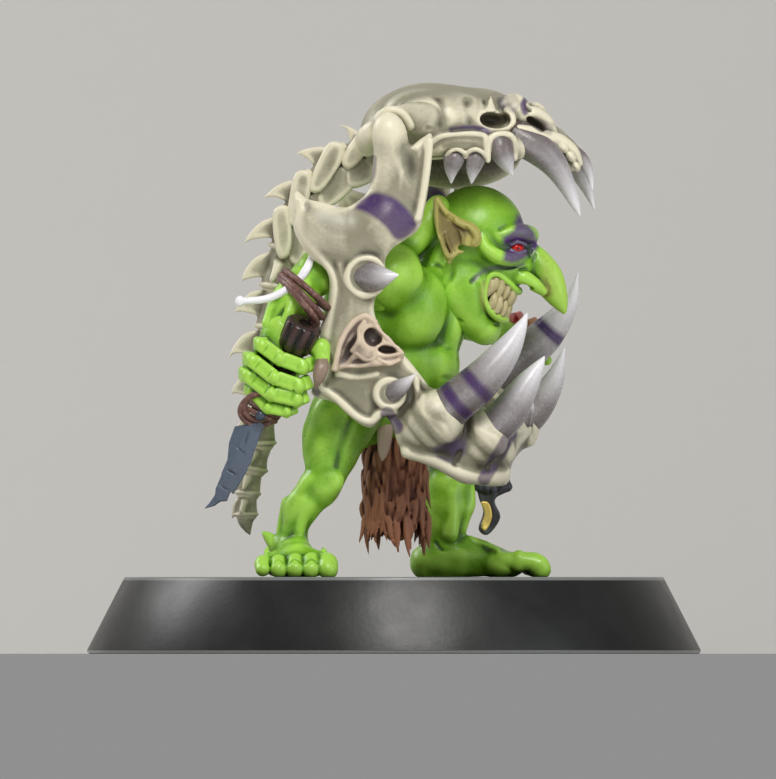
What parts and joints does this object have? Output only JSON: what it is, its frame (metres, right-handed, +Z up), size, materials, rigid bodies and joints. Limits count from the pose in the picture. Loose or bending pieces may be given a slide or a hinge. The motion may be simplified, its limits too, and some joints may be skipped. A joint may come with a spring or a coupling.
{
  "type": "painted tabletop miniature figure",
  "caption": "Crouching green goblin that wears a beast's skull, jaw and backbone as armour and holds a dagger, on a round tapered gaming base",
  "frame": {"origin": "centre of the base's underside, on the surface that the figure stands on", "axes": "+Z up; the figure faces +X; its left side is +Y"},
  "size_m": [0.032, 0.032, 0.0296],
  "materials": {
    "black_base": "satin black moulded plastic",
    "brass_wire": "plain brass wire",
    "goblin_skin": "bright green paint, shaded darker in the folds",
    "ear_skin": "olive brown paint",
    "red_eye": "glossy red paint",
    "yellow_teeth": "yellowish ivory paint",
    "old_bone": "bone coloured paint with grey recesses and purple bands",
    "horn": "grey lavender paint fading to white at the tips",
    "torn_bone": "pinkish brown paint",
    "dark_wood": "dark brown paint",
    "blade_steel": "dark blue grey metallic paint",
    "leather": "brown leather paint",
    "fur": "brown paint, drybrushed lighter",
    "hide": "pinkish tan paint",
    "black_cloth": "black paint",
    "gold_trim": "gold paint",
    "raw_meat": "red and tan paint"
  },
  "bodies": {
    "root": {"base": "black_base", "right_foot_pin": "brass_wire", "left_foot_pin": "brass_wire", "eyes": "red_eye", "grin_teeth": "yellow_teeth", "trophy": "raw_meat", "dagger_grip": "dark_wood", "dagger_blade": "blade_steel", "dagger_binding": "leather", "dagger_rivet": "blade_steel", "forearm_bone": "old_bone", "forearm_thong": "leather", "fur_loincloth": "fur", "hide_strip": "hide", "hanging_cloth": "black_cloth", "cloth_trim": "gold_trim", "bone_cup": "torn_bone", "torso": "goblin_skin", "right_leg": "goblin_skin", "left_leg": "goblin_skin", "head": "goblin_skin", "right_arm": "goblin_skin", "right_hand": "goblin_skin", "left_arm": "goblin_skin", "left_hand": "goblin_skin", "right_ear": "ear_skin", "left_ear": "ear_skin", "skull": "old_bone", "jaw_right": "old_bone", "jaw_left": "old_bone", "vertebra_01": "old_bone", "vertebra_02": "old_bone", "vertebra_03": "old_bone", "vertebra_04": "old_bone", "vertebra_05": "old_bone", "vertebra_06": "old_bone", "vertebra_07": "old_bone", "vertebra_08": "old_bone", "vertebra_09": "old_bone", "vertebra_10": "old_bone", "vertebra_11": "old_bone", "vertebra_12": "old_bone", "skull_teeth_right": "horn", "skull_teeth_left": "horn", "skull_fang_right": "horn", "skull_fang_left": "horn", "skull_front_fangs": "horn", "jaw_spikes_right": "horn", "jaw_spikes_left": "horn", "outer_tusk_right": "horn", "outer_tusk_left": "horn", "inner_tusk_right": "horn", "inner_tusk_left": "horn", "jaw_front_teeth": "horn", "tail_tip": "horn"}
  },
  "joints": []
}
